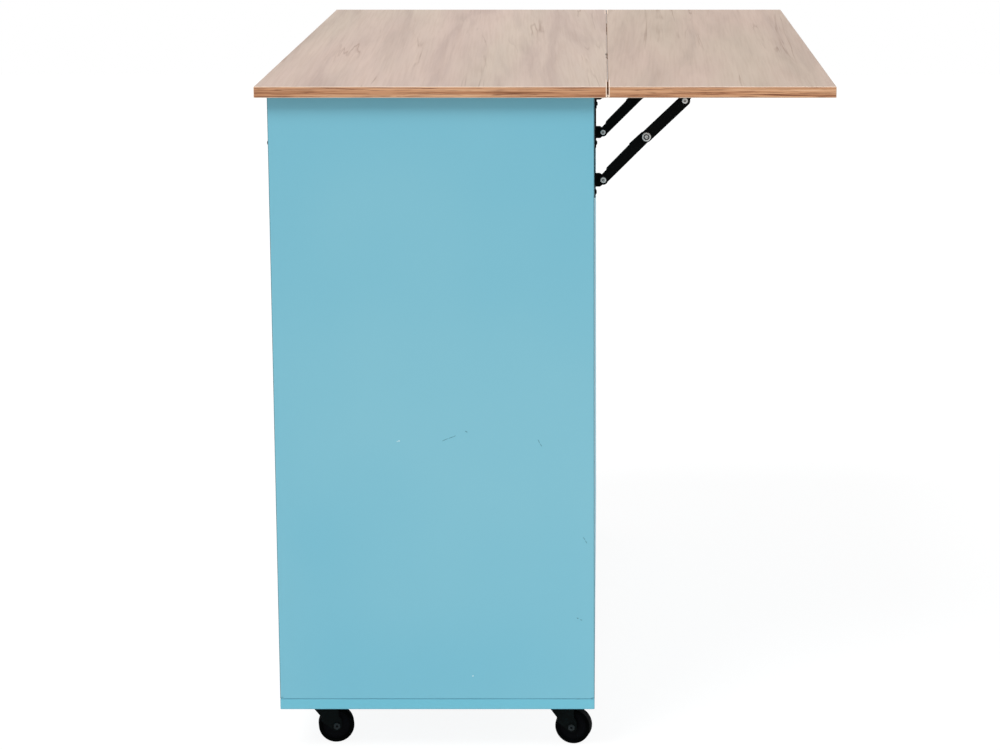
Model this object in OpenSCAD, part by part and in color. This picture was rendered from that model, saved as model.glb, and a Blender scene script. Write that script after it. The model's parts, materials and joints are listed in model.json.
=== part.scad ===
// Rolling kitchen sideboard: a cabinet body on four swivel casters with two drawers, four doors,
// a fixed worktop and a drop leaf along the back, held up by three folding brackets.
// X runs along the length, Y from the front to the back, Z up. The origin is on the floor,
// under the middle of the overall box.

/* [Worktop] */
// Length of the worktop and of the leaf, end to end
top_l = 1326; // [1200:1:1500]
// Height of the worktop above the floor
total_h = 929; // [890:1:1000]
// Thickness of the worktop and of the leaf
top_t = 15; // [15:1:22]
// Depth of the drop leaf
leaf_d = 304; // [240:1:400]
// Gap between the worktop and the leaf
seam = 0.6; // [0.5:0.1:3]
// Overhang of the worktop past each end panel
overhang_end = 15; // [5:1:40]
// Overhang of the worktop past the fronts
overhang_front = 16; // [6:1:26]
// Overhang of the worktop past the back panel
overhang_back = 17.7; // [17.6:0.1:26]

/* [Body] */
// Depth of the body, from the fronts to the back panel's outer face
body_d = 437; // [425:1:480]
// Thickness of the end panels and the partition
panel_t = 15; // [15:1:19]
// Thickness of the base board
base_t = 15; // [15:1:22]
// Thickness of the back panel
back_t = 15; // [15:1:18]
// Thickness of the front rails
rail_t = 15; // [15:1:20]
// Depth of the front rails
rail_d = 80; // [60:1:120]
// Thickness of the shelves
shelf_t = 15; // [12:1:20]
// Height of the shelf's underside above the base board
shelf_z = 317; // [250:1:380]
// Width of the small bevel along each board's edges
arris = 0.8; // [0.4:0.1:1.2]

/* [Drawers] */
// Height of a drawer front
drawer_front_h = 150; // [135:1:180]
// Thickness of a drawer front
drawer_front_t = 15; // [15:1:18]
// Height of the drawer sides
drawer_side_h = 100; // [80:1:115]
// Length of the drawer sides
drawer_l = 350; // [330:1:370]
// Thickness of the drawer sides and back
drawer_side_t = 12; // [12:1:15]
// Thickness of the drawer bottom
drawer_bottom_t = 5; // [3:0.5:6]
// Room for a runner between a drawer side and a panel
runner_w = 12.5; // [12:0.5:14]
// Gap round the drawer fronts and doors
front_gap = 2.5; // [1.5:0.5:3]

/* [Doors] */
// Thickness of a door
door_t = 15; // [15:1:18]
// Width of a door's raised border
stile_w = 55; // [50:1:70]
// Depth of a door's recessed field
field_depth = 4; // [2:0.5:6]
// Gap between the two doors of a bay
meeting_gap = 3; // [2:0.5:5]
// Height of each hinge's centre from the door's nearer end
hinge_end = 90; // [70:1:120]

/* [Handles] */
// Length of a bar handle
handle_l = 136; // [120:1:200]
// Spacing of a handle's two posts
handle_pitch = 96; // [64:1:110]
// Diameter of the handle bar
handle_bar = 10; // [8:0.5:14]
// Reach of a handle from the face that carries it
handle_reach = 29; // [27:1:40]

/* [Folding brackets] */
// Distance of the outer brackets from the worktop's ends
bracket_inset = 98; // [70:1:160]
// Width of the bracket's plates
plate_w = 20; // [20:1:30]
// Thickness of the bracket's plates
plate_t = 1.5; // [1.2:0.1:2]
// Depth of the hinge axis below the worktop
hinge_drop = 5.2; // [5.2:0.1:6]
// Distance from the hinge axis to the leaf pivot
leaf_reach = 105; // [90:1:112]
// Height of the leaf pivot above the wall pivot when folded
fold_step = 12.5; // [12.5:0.1:18]
// Distance of the wall pivot from the back panel
wall_pivot_off = 12.1; // [12.1:0.1:13]
// Distance of the leaf pivot from the leaf's underside
leaf_pivot_off = 13.3; // [12.5:0.1:13.5]
// Distance of the small leaf hinges from the worktop's ends
leaf_hinge_inset = 193; // [150:1:260]
// Length of a small leaf hinge
leaf_hinge_l = 80; // [60:1:100]

/* [Casters] */
// Height of the base board above the floor
caster_h = 62; // [60:1:72]
// Diameter of a caster wheel
wheel_d = 50; // [44:1:52]
// Width of a caster wheel
wheel_w = 20; // [18:1:24]
// Offset of the wheel behind its swivel axis
trail = 22; // [18:1:24]
// Distance of each swivel axis from the body's edges
caster_inset = 51; // [45:1:70]

/* [Hidden] */
$fn = 48;
// Running clearance of shafts in their bores, and of loose pieces beside their seats
run_clear = 0.05;
seat_clear = 0.3;
hole_clear = 0.1;

// Body
body_l = top_l - 2 * overhang_end;
reach_back = body_d + overhang_back + seam + leaf_d;
y_front = (max(handle_reach, overhang_front) - reach_back) / 2;
y_back = y_front + body_d;
y_inside = y_back - back_t;
z_base = caster_h;
z_floor = z_base + base_t;
z_top = total_h - top_t;
bay_x0 = panel_t / 2;
bay_x1 = body_l / 2 - panel_t;
bay_w = bay_x1 - bay_x0;

// Fronts, from the top down
z_top_rail = z_top - rail_t;
z_drawer = z_top_rail - front_gap - drawer_front_h;
z_divider = z_drawer - front_gap - rail_t;
door_z0 = z_floor + front_gap;
door_h = z_divider - front_gap - door_z0;
door_w = (bay_w - 2 * front_gap - meeting_gap) / 2;

// Board joints: a cam in the face of one board draws a bolt in the edge of the next
cam_r = 7.5;
cam_depth = 12;
cam_from_edge = 24;
bolt_r = 3;
bolt_in = 10;
cam_end_inset = 60;
back_cam_z = 120;
screw_r = 2.5;
screw_head_r = 4.5;
screw_head_h = 3;
screw_l = 45;
carcass_screw_ys = [50, body_d / 2, body_d - 51];

// Shelves and their pins
shelf_side_gap = 1;
shelf_front_gap = 10;
shelf_back_gap = 3;
pin_r = 2.5;
pin_in = panel_t / 2 - 0.6;
pin_out = 10;
pin_rows = [-64, 0, 64];
pin_inset = 55;

// Drawer boxes and runners
box_lift = 10;
box_z = z_drawer + box_lift;
box_x0 = bay_x0 + runner_w;
box_x1 = bay_x1 - runner_w;
box_y0 = y_front + drawer_front_t;
groove_depth = 6;
groove_z = 6;
groove_clear = 0.1;
steel = 1.2;
track_l = drawer_l;
track_flange = 10;
roller_r = 7.9;
roller_w = 6;
roller_from_end = 14;
lip_z = 16;
lip_w = 7.8;
track_bottom = -0.6;
track_top = 18;

// Door hinges, measured from the hinge edge and the front face
cup_r = 17.5;
cup_wall = 1.2;
cup_depth = 12;
cup_from_edge = 22;
cup_flange_t = 1;
hinge_nose_gap = 0.4;
hinge_arm_h = 12;
hinge_arm_l = 57;
hinge_arm_t = 9;
hinge_nose_w = 9;
hinge_foot_l = 32;
hinge_foot_h = 40;
cup_wing = 26;
cup_wing_r = 6;

// Handles
handle_post_r = 4;
handle_screw_r = 2;
handle_screw_head_r = 4;
handle_screw_head_h = 2.4;
handle_stile = 27;
handle_from_top = 60;

// Folding brackets, in the plane across the length: y from the back panel, z from the underside
hinge_y = overhang_back + seam / 2;
wall_pivot = [wall_pivot_off, -(hinge_drop + leaf_reach + fold_step)];
leaf_pivot = [hinge_y + leaf_reach, -leaf_pivot_off];
folded_offset = wall_pivot_off - (hinge_y + hinge_drop - leaf_pivot_off);
pivot_span = norm(leaf_pivot - wall_pivot);
strut_slack = 0.03;
strut_l = pivot_span + strut_slack;
lower_arm_l = (strut_l ^ 2 - fold_step ^ 2 - folded_offset ^ 2) / (2 * (strut_l - fold_step));
upper_arm_l = strut_l - lower_arm_l;
span_angle = atan2(leaf_pivot[1] - wall_pivot[1], leaf_pivot[0] - wall_pivot[0]);
along = (lower_arm_l ^ 2 - upper_arm_l ^ 2 + pivot_span ^ 2) / (2 * pivot_span);
lower_arm_angle = span_angle + acos(along / lower_arm_l);
upper_arm_angle = span_angle - acos((pivot_span - along) / upper_arm_l);
knuckle_r = 3.4;
knuckle_mid = 6.2;
knuckle_gap = 0.3;
hinge_pin_r = 1.5;
leaf_hinge_w = 16;
wall_plate_l = -wall_pivot[1] + 23;
ear_root = 9.4;
leaf_plate_end = leaf_reach + ear_root;
ear_shoulder = 4.5;
ear_t = 2;
arm_gap = 0.2;
arm_w = 8;
arm_wall = 1.5;
arm_mid = arm_gap + arm_w / 2;
arm_back = 8.3;
arm_lug = 1;
arm_lug_l = 24;
arm_open = 7.3;
arm_open_eye = 5.9;
arm_eye = 6.5;
arm_start = 15;
pivot_r = 2.5;
pivot_head_r = 3.9;
pivot_head_h = 0.9;
elbow_r = 7.3;
elbow_head_r = 6;
elbow_head_h = 1.4;
rivet_hole_share = 0.42;
rivet_hole_depth = 0.6;
wall_screw_drops = [16, 16 - wall_pivot[1]];
wall_screw_dome_r = 4;
wall_screw_dome_h = 1.6;
bracket_x = top_l / 2 - bracket_inset;

// Casters, in their own frame: the swivel axis is x = y = 0 and the wheel trails to +Y
caster_plate = 48;
caster_plate_t = 2.5;
caster_hole = 17;
race_r = 15;
fork_t = 2.2;
crown_r = 17;
fork_side = wheel_w / 2 + 1;
z_plate = z_base - caster_plate_t;
z_crown = z_plate - 4.5;
z_crown_low = z_crown - 2.5;
kingpin_r = 4;
kingpin_head_r = 6.5;
axle_r = 3;
axle_nut_r = 5;
axle_nut_h = 2.2;
axle_dimple = 1.5;
// How far a cheek's top reaches behind the axle
cheek_back = 2.6;
hub_r = 7;
hub_clear = 0.3;
tread_r = 3;
// Way each caster is turned where it stands: right front, right back, left front, left back
caster_turn = [-7, 12, 0, 0];

// Colours
body_blue = "#7abbcd";
laminate = "#c9b5a5";
black_steel = "#1b1b1d";
zinc = "#b9bcc0";
nylon = "#e8e8e4";

// Boards

// Rectangle with its corners cut at 45 degrees
module cut_rectangle(w, h, c) {
    polygon([[c, 0], [w - c, 0], [w, c], [w, h - c], [w - c, h], [c, h], [0, h - c], [0, c]]);
}

// Board with a small bevel along all its edges, from its lowest corner
module board(size, c = arris) {
    intersection() {
        rotate([90, 0, 90]) linear_extrude(size[0]) cut_rectangle(size[1], size[2], c);
        translate([0, size[1], 0]) rotate([90, 0, 0]) linear_extrude(size[1]) cut_rectangle(size[0], size[2], c);
        linear_extrude(size[2]) cut_rectangle(size[0], size[1], c);
    }
}

module left_of(side) {
    mirror([side < 0 ? 1 : 0, 0, 0]) children();
}

// Cam fitting: the cam's face is at z = 0, looking up, and its bolt runs to +X past the board's edge
module cam_fitting(clear = 0) {
    translate([0, 0, -cam_depth - clear]) cylinder(r = cam_r + clear, h = cam_depth + clear);
    translate([0, 0, -panel_t / 2]) rotate([0, 90, 0])
        cylinder(r = bolt_r + clear, h = cam_from_edge + bolt_in + clear);
}

// Upright boards to the worktop: two cams in the right end panel's inner face
module end_cams(clear = 0) {
    for (y = [y_front + cam_end_inset, y_back - cam_end_inset])
        translate([bay_x1, y, z_top - cam_from_edge]) rotate([0, -90, 0]) cam_fitting(clear);
}

module partition_cams(clear = 0) {
    for (y = [y_front + cam_end_inset, y_inside - cam_end_inset])
        translate([-bay_x0, y, z_top - cam_from_edge]) rotate([0, -90, 0]) cam_fitting(clear);
}

// Rails to the upright boards: a cam in the underside at each end of each right-hand rail
module rail_cams(clear = 0) {
    for (z = [z_top_rail, z_divider])
        for (end = [0, 1])
            translate([end ? bay_x1 - cam_from_edge : bay_x0 + cam_from_edge, y_front + rail_d / 2, z])
                mirror([end ? 0 : 1, 0, 0]) rotate([180, 0, 0]) cam_fitting(clear);
}

// Back panel to the right end panel
module back_cams(clear = 0) {
    for (z = [z_floor + back_cam_z, z_top - back_cam_z])
        translate([bay_x1 - cam_from_edge, y_inside, z]) rotate([90, 0, 0]) cam_fitting(clear);
}

module cam_fittings() {
    color(zinc) {
        for (side = [-1, 1]) left_of(side) {
            end_cams();
            rail_cams_short();
            back_cams();
        }
        partition_cams();
    }
}

// At the partition the two bays' bolts meet, so these are shortened to half its thickness
module rail_cams_short() {
    intersection() {
        rail_cams();
        translate([hole_clear, y_front, z_floor]) cube([body_l, body_d, z_top - z_floor]);
    }
}

// Screw with a flat head, point up, its head's face at z = 0
module flat_screw(r, head_r, head_h, l, clear = 0) {
    cylinder(r1 = head_r + clear, r2 = r + clear, h = head_h);
    cylinder(r = r + clear, h = l + clear);
}

// Screws from below the base board into the upright boards
module carcass_screws(clear = 0) {
    for (x = [-(bay_x1 + panel_t / 2), 0, bay_x1 + panel_t / 2])
        for (y = carcass_screw_ys)
            translate([x, y_front + y, z_base]) flat_screw(screw_r, screw_head_r, screw_head_h, screw_l, clear);
}

// Screws through the caster plates into the base board
module caster_screws(clear = 0) {
    for (i = [0:3]) translate([caster_x(i), caster_y(i), 0])
        for (sx = [-1, 1]) for (sy = [-1, 1])
            translate([sx * caster_hole, sy * caster_hole, 0]) {
                translate([0, 0, z_plate - hole_clear]) cylinder(r = 2 + clear, h = 12 + clear);
                translate([0, 0, z_plate - 2]) cylinder(r1 = 2.6, r2 = 3.6, h = 2);
            }
}

// Round-headed screws through the wall plates into the back panel
module wall_plate_screws(clear = 0) {
    for (x = [-bracket_x, 0, bracket_x]) for (drop = wall_screw_drops)
        translate([x, y_back, z_top - drop]) {
            translate([0, plate_t, 0]) rotate([90, 0, 0]) cylinder(r = 1.8 + clear, h = plate_t + 12 + clear);
            if (clear == 0) translate([0, plate_t, 0]) rotate([-90, 0, 0])
                cylinder(r1 = wall_screw_dome_r, r2 = wall_screw_dome_r * 0.6, h = wall_screw_dome_h);
        }
}

module assembly_screws() {
    color(zinc) {
        carcass_screws();
        caster_screws();
    }
    color(black_steel) wall_plate_screws();
}

module main_top() {
    color(laminate) difference() {
        translate([-top_l / 2, y_front - overhang_front, z_top])
            board([top_l, overhang_front + body_d + overhang_back, top_t]);
        for (side = [-1, 1]) left_of(side) end_cams(hole_clear);
        partition_cams(hole_clear);
    }
}

module end_panel() {
    color(body_blue) difference() {
        translate([bay_x1, y_front, z_floor]) board([panel_t, body_d, z_top - z_floor]);
        end_cams(hole_clear);
        rail_cams(hole_clear);
        back_cams(hole_clear);
        carcass_screws(hole_clear);
        panel_pin_holes();
    }
}

module right_end_panel() { end_panel(); }
module left_end_panel() { mirror([1, 0, 0]) end_panel(); }

module centre_partition() {
    color(body_blue) difference() {
        translate([-bay_x0, y_front, z_floor]) board([panel_t, y_inside - y_front, z_top - z_floor]);
        partition_cams(hole_clear);
        for (side = [-1, 1]) left_of(side) {
            rail_cams(hole_clear);
            partition_pin_holes();
        }
        carcass_screws(hole_clear);
    }
}

module back_panel() {
    color(body_blue) difference() {
        translate([-bay_x1, y_inside, z_floor]) board([2 * bay_x1, back_t, z_top - z_floor]);
        for (side = [-1, 1]) left_of(side) back_cams(hole_clear);
        wall_plate_screws(hole_clear);
    }
}

module base_board() {
    color(body_blue) difference() {
        translate([-body_l / 2, y_front, z_base]) board([body_l, body_d, base_t]);
        carcass_screws(hole_clear);
        caster_screws(hole_clear);
    }
}

// A pair of rails, one in each bay, with their undersides at height z
module rail_pair(z) {
    color(body_blue) for (side = [-1, 1]) left_of(side) difference() {
        translate([bay_x0, y_front, z]) board([bay_w, rail_d, rail_t]);
        rail_cams(hole_clear);
    }
}

module top_rails() { rail_pair(z_top_rail); }
module divider_rails() { rail_pair(z_divider); }

// Shelves

shelf_y0 = y_front + door_t + shelf_front_gap;
shelf_y1 = y_inside - shelf_back_gap;
pin_ys = [shelf_y0 + pin_inset, shelf_y1 - pin_inset];

module shelf() {
    color(body_blue)
        translate([bay_x0 + shelf_side_gap, shelf_y0, z_floor + shelf_z])
            board([bay_w - 2 * shelf_side_gap, shelf_y1 - shelf_y0, shelf_t]);
}

module right_shelf() { shelf(); }
module left_shelf() { mirror([1, 0, 0]) shelf(); }

// Rows of holes for the shelf pins, in the right end panel and in the partition's right face
module pin_holes(x, depth) {
    for (y = pin_ys) for (row = pin_rows)
        translate([x, y, z_floor + shelf_z - pin_r + row]) rotate([0, 90, 0])
            cylinder(r = pin_r + hole_clear, h = depth);
}

module panel_pin_holes() { pin_holes(bay_x1 - 1, pin_in + 1 + hole_clear); }
module partition_pin_holes() { pin_holes(bay_x0 - pin_in - hole_clear, pin_in + 1 + hole_clear); }

module shelf_pins() {
    color(zinc) for (side = [-1, 1]) left_of(side) for (y = pin_ys)
        translate([0, y, z_floor + shelf_z - pin_r - run_clear]) rotate([0, 90, 0]) {
            translate([0, 0, bay_x0 - pin_in]) cylinder(r = pin_r, h = pin_in + pin_out);
            translate([0, 0, bay_x1 - pin_out]) cylinder(r = pin_r, h = pin_in + pin_out);
        }
}

// Handles

// Bar on two posts, along X, on a face at y = 0 that looks to -Y
module bar_handle(t) {
    bar_r = handle_bar / 2;
    color(black_steel) {
        translate([0, bar_r - handle_reach, 0]) rotate([0, 90, 0]) rotate_extrude()
            translate([0, -handle_l / 2]) polygon([
                [0, 0], [bar_r - 1, 0], [bar_r, 1], [bar_r, handle_l - 1], [bar_r - 1, handle_l], [0, handle_l]]);
        for (s = [-1, 1]) translate([s * handle_pitch / 2, 0, 0]) rotate([90, 0, 0])
            cylinder(r = handle_post_r, h = handle_reach - bar_r);
    }
    color(zinc) for (s = [-1, 1]) translate([s * handle_pitch / 2, 0, 0]) rotate([-90, 0, 0]) {
        cylinder(r = handle_screw_r, h = t);
        translate([0, 0, t]) cylinder(r = handle_screw_head_r, h = handle_screw_head_h);
    }
}

module handle_holes(t) {
    for (s = [-1, 1]) translate([s * handle_pitch / 2, -1, 0]) rotate([-90, 0, 0])
        cylinder(r = handle_screw_r + hole_clear, h = t + 2);
}

// Drawers, drawn for the right-hand bay

module at_drawer_handle() {
    translate([(bay_x0 + bay_x1) / 2, y_front, z_drawer + drawer_front_h / 2]) children();
}

module drawer_front() {
    color(body_blue) difference() {
        translate([bay_x0 + front_gap, y_front, z_drawer])
            board([bay_w - 2 * front_gap, drawer_front_t, drawer_front_h], 1.5 * arris);
        at_drawer_handle() handle_holes(drawer_front_t);
        drawer_groove();
    }
}

// Room for the bottom panel in the boards round it
module drawer_groove() {
    translate([
        box_x0 + drawer_side_t - groove_depth - groove_clear,
        box_y0 - groove_depth - groove_clear,
        box_z + groove_z - groove_clear
    ]) cube([
        box_x1 - box_x0 - 2 * (drawer_side_t - groove_depth - groove_clear),
        drawer_l - drawer_side_t + 2 * (groove_depth + groove_clear),
        drawer_bottom_t + 2 * groove_clear
    ]);
}

module drawer_sides() {
    color(nylon) difference() {
        for (x = [box_x0, box_x1 - drawer_side_t])
            translate([x, box_y0, box_z]) cube([drawer_side_t, drawer_l, drawer_side_h]);
        drawer_groove();
    }
}

module drawer_back() {
    color(nylon) difference() {
        translate([box_x0 + drawer_side_t, box_y0 + drawer_l - drawer_side_t, box_z])
            cube([box_x1 - box_x0 - 2 * drawer_side_t, drawer_side_t, drawer_side_h]);
        drawer_groove();
    }
}

module drawer_bottom() {
    color(nylon) translate([box_x0 + drawer_side_t - groove_depth, box_y0 - groove_depth, box_z + groove_z])
        cube([
            box_x1 - box_x0 - 2 * (drawer_side_t - groove_depth),
            drawer_l - drawer_side_t + 2 * groove_depth,
            drawer_bottom_t
        ]);
}

// Runner on one drawer side, from the panel's face at x = 0 to the drawer side at x = runner_w
module drawer_runner() {
    color(nylon) {
        translate([0, drawer_l, 0]) rotate([90, 0, 0]) linear_extrude(drawer_l) polygon([
            [runner_w, 0], [runner_w + drawer_side_t, 0], [runner_w + drawer_side_t, -steel],
            [runner_w - steel, -steel], [runner_w - steel, lip_z],
            [runner_w - steel - lip_w, lip_z], [runner_w - steel - lip_w, lip_z + steel],
            [runner_w, lip_z + steel]]);
        translate([0, drawer_l - roller_from_end, 0]) roller(runner_w - steel - 0.8, -1, lip_z - seat_clear);
    }
}

// Wheel of a runner: its inner face is at x, its stub axle runs on by 0.8 mm, and its rim's top is at top_z
module roller(x, way, top_z) {
    translate([x, 0, top_z - roller_r]) rotate([0, 90, 0]) {
        translate([0, 0, way < 0 ? -roller_w : 0]) cylinder(r = roller_r, h = roller_w);
        translate([0, 0, way < 0 ? 0 : -0.8]) cylinder(r = 3, h = 0.8);
    }
}

// Track on one panel, from its face at x = 0
module drawer_track() {
    color(nylon) {
        translate([0, track_l, 0]) rotate([90, 0, 0]) linear_extrude(track_l) polygon([
            [0, track_bottom - steel], [track_flange, track_bottom - steel], [track_flange, track_bottom],
            [steel, track_bottom], [steel, track_top], [track_flange, track_top],
            [track_flange, track_top + steel], [0, track_top + steel]]);
        translate([0, roller_from_end, 0]) roller(steel + 0.8, 1, lip_z - seat_clear);
    }
}

module at_both_sides() {
    translate([bay_x0, box_y0, box_z]) children();
    translate([bay_x1, box_y0, box_z]) mirror([1, 0, 0]) children();
}

module drawer_runners() { at_both_sides() drawer_runner(); }

module drawer_tracks() {
    for (side = [-1, 1]) left_of(side) at_both_sides() translate([0, 2, 0]) drawer_track();
}

module right_drawer_front() { drawer_front(); }
module right_drawer_sides() { drawer_sides(); }
module right_drawer_back() { drawer_back(); }
module right_drawer_bottom() { drawer_bottom(); }
module right_drawer_handle() { at_drawer_handle() bar_handle(drawer_front_t); }
module right_drawer_runners() { drawer_runners(); }
module left_drawer_front() { mirror([1, 0, 0]) drawer_front(); }
module left_drawer_sides() { mirror([1, 0, 0]) drawer_sides(); }
module left_drawer_back() { mirror([1, 0, 0]) drawer_back(); }
module left_drawer_bottom() { mirror([1, 0, 0]) drawer_bottom(); }
module left_drawer_handle() { mirror([1, 0, 0]) right_drawer_handle(); }
module left_drawer_runners() { mirror([1, 0, 0]) drawer_runners(); }

// Doors, drawn from the hinge edge at x = 0 to +X, with the front face at y = 0

module at_inner_door() { translate([bay_x0 + front_gap, y_front, door_z0]) children(); }
module at_outer_door() { translate([bay_x1 - front_gap, y_front, door_z0]) mirror([1, 0, 0]) children(); }

module at_cups() {
    for (z = [hinge_end, door_h - hinge_end]) translate([cup_from_edge, door_t, z]) children();
}

// Sunk field of a door, with its sides sloping at 45 degrees
module door_field() {
    w = door_w - 2 * stile_w;
    h = door_h - 2 * stile_w;
    d = field_depth;
    translate([stile_w, 0, stile_w]) intersection() {
        linear_extrude(h) polygon([[-1, -1], [w + 1, -1], [w - d, d], [d, d]]);
        rotate([90, 0, 90]) linear_extrude(w) polygon([[-1, -1], [-1, h + 1], [d, h - d], [d, d]]);
    }
}

module door() {
    color(body_blue) difference() {
        board([door_w, door_t, door_h], 1.5 * arris);
        door_field();
        at_cups() rotate([90, 0, 0]) translate([0, 0, -1]) cylinder(r = cup_r + hole_clear, h = cup_depth + 1);
        at_door_handle() handle_holes(door_t);
    }
}

module at_door_handle() {
    translate([door_w - handle_stile, 0, door_h - handle_from_top - handle_l / 2]) rotate([0, 90, 0]) children();
}

// Hinge cups let into the door's back
module door_cups() {
    color(zinc) at_cups() {
        rotate([90, 0, 0]) difference() {
            union() {
                cylinder(r = cup_r, h = cup_depth - hole_clear);
                translate([0, 0, -cup_flange_t]) linear_extrude(cup_flange_t) {
                    circle(r = cup_r + 1.5);
                    translate([-cup_wing_r, -cup_wing]) square([2 * cup_wing_r, 2 * cup_wing]);
                    for (s = [-1, 1]) translate([0, cup_wing * s]) circle(r = cup_wing_r);
                }
            }
            translate([0, 0, -cup_flange_t - 1])
                cylinder(r = cup_r - cup_wall, h = cup_depth - cup_wall + cup_flange_t + 1 - hole_clear);
        }
    }
}

// Hinge arm on the board beside the door, in the door's own frame
module hinge_arm() {
    tip = door_t - cup_depth + cup_wall + hole_clear + hinge_nose_gap;
    nose = [cup_from_edge - hinge_nose_w / 3, cup_from_edge + 2 * hinge_nose_w / 3];
    rear = door_t + hinge_arm_l;
    bend = door_t + hinge_arm_t;
    color(zinc) {
        translate([0, 0, -hinge_arm_h / 2]) linear_extrude(hinge_arm_h) polygon([
            [0, rear], [0, bend + 6], [nose[0] * 0.7, bend - 2], [nose[0], door_t + 2], [nose[0], tip],
            [nose[1], tip], [nose[1], door_t + 5], [nose[0], bend + 10], [hinge_arm_t, bend + 16],
            [hinge_arm_t, rear]]);
        translate([-front_gap, bend + 11, -hinge_foot_h / 2]) cube([front_gap, hinge_foot_l, hinge_foot_h]);
    }
}

module at_arms() {
    for (z = [hinge_end, door_h - hinge_end]) translate([0, 0, z]) children();
}

module door_hinge_arms() {
    for (side = [-1, 1]) left_of(side) {
        at_inner_door() at_arms() hinge_arm();
        at_outer_door() at_arms() hinge_arm();
    }
}

module right_inner_door() { at_inner_door() door(); }
module right_inner_door_handle() { at_inner_door() at_door_handle() bar_handle(door_t); }
module right_inner_door_cups() { at_inner_door() door_cups(); }
module right_outer_door() { at_outer_door() door(); }
module right_outer_door_handle() { at_outer_door() at_door_handle() bar_handle(door_t); }
module right_outer_door_cups() { at_outer_door() door_cups(); }
module left_inner_door() { mirror([1, 0, 0]) right_inner_door(); }
module left_inner_door_handle() { mirror([1, 0, 0]) right_inner_door_handle(); }
module left_inner_door_cups() { mirror([1, 0, 0]) right_inner_door_cups(); }
module left_outer_door() { mirror([1, 0, 0]) right_outer_door(); }
module left_outer_door_handle() { mirror([1, 0, 0]) right_outer_door_handle(); }
module left_outer_door_cups() { mirror([1, 0, 0]) right_outer_door_cups(); }

// Drop leaf

module drop_leaf() {
    color(laminate) translate([-top_l / 2, y_back + overhang_back + seam, z_top])
        board([top_l, leaf_d, top_t]);
}

// Folding brackets, drawn in their own plane: 2D x is y from the back panel, 2D y is z from the
// underside of the worktop, and an extrusion runs along the length

module at_brackets() {
    for (x = [-bracket_x, 0, bracket_x]) at_bracket(x) children();
}

module at_bracket(x) {
    translate([x, y_back, z_top]) rotate([90, 0, 90]) children();
}

// Slab of a bracket outline between two places along the length
module across(from, to) {
    translate([0, 0, from]) linear_extrude(to - from) children();
}

// Tab that carries a pivot, on a plate along 2D y whose far face is stand_off away
module ear_outline(stand_off) {
    eye = arm_eye - 0.4;
    circle(r = eye);
    polygon([[0, eye], [-ear_shoulder, ear_root], [plate_t / 2 - stand_off, ear_root],
        [plate_t / 2 - stand_off, -ear_root], [-ear_shoulder, -ear_root], [0, -eye]]);
}

module bracket_wall_plate() {
    pin = [hinge_y, -hinge_drop];
    half = plate_w / 2;
    difference() {
        union() {
            across(-half, half) polygon([[0, -wall_plate_l], [plate_t, -wall_plate_l], [plate_t, -plate_t],
                [hinge_y - knuckle_r, -plate_t], [hinge_y - knuckle_r, -0.1], [0, -0.1]]);
            for (s = [[-half, -knuckle_mid / 2 - knuckle_gap], [knuckle_mid / 2 + knuckle_gap, half]])
                across(s[0], s[1]) {
                    translate(pin) circle(r = knuckle_r);
                    polygon([[hinge_y - knuckle_r, -0.1], [hinge_y - knuckle_r, -hinge_drop],
                        [hinge_y, -hinge_drop], [hinge_y - 0.4, -0.1 - plate_t]]);
                }
            across(-arm_mid - ear_t / 2, -arm_mid + ear_t / 2) translate(wall_pivot) ear_outline(wall_pivot_off);
        }
        across(-half - 1, half + 1) translate(pin) circle(r = hinge_pin_r + hole_clear / 4);
        across(-arm_mid - ear_t, -arm_mid + ear_t) translate(wall_pivot) circle(r = pivot_r + run_clear);
        for (drop = wall_screw_drops) translate([-1, -drop, 0]) rotate([0, 90, 0])
            cylinder(r = 1.8 + hole_clear, h = plate_t + 2);
    }
}

module bracket_wall_plates() { color(black_steel) at_brackets() bracket_wall_plate(); }

module leaf_hinge_pins() {
    color(zinc) {
        at_brackets() hinge_pin(plate_w / 2 + 0.8);
        at_leaf_hinges() hinge_pin(leaf_hinge_l / 2 + 0.4);
    }
}

module hinge_pin(half) {
    across(-half, half) translate([hinge_y, -hinge_drop]) circle(r = hinge_pin_r);
}

module bracket_leaf_plate() {
    pin = [hinge_y, -hinge_drop];
    half = plate_w / 2;
    start = hinge_y + knuckle_r + knuckle_gap;
    difference() {
        union() {
            across(-half, half) polygon([[start, -plate_t], [hinge_y + leaf_plate_end, -plate_t],
                [hinge_y + leaf_plate_end, 0], [start, 0]]);
            across(-knuckle_mid / 2, knuckle_mid / 2) {
                translate(pin) circle(r = knuckle_r);
                polygon([[start + 1, 0], [start + 1, -plate_t], [hinge_y + knuckle_r, -hinge_drop],
                    pin, [hinge_y + 1.4, -0.1 - plate_t], [hinge_y + knuckle_r - 1, 0]]);
            }
            across(arm_mid - ear_t / 2, arm_mid + ear_t / 2) translate(leaf_pivot) rotate(-90)
                ear_outline(leaf_pivot_off);
        }
        across(-half, half) translate(pin) circle(r = hinge_pin_r + run_clear);
        across(arm_mid - ear_t, arm_mid + ear_t) translate(leaf_pivot) circle(r = pivot_r + run_clear);
    }
}

module bracket_leaf_plates() { color(black_steel) at_brackets() bracket_leaf_plate(); }

// Small leaf hinges between the brackets: each has two fixed knuckles and a middle one on the leaf

module at_leaf_hinges() {
    for (x = [-1, 1] * (top_l / 2 - leaf_hinge_inset)) at_bracket(x) children();
}

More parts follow.
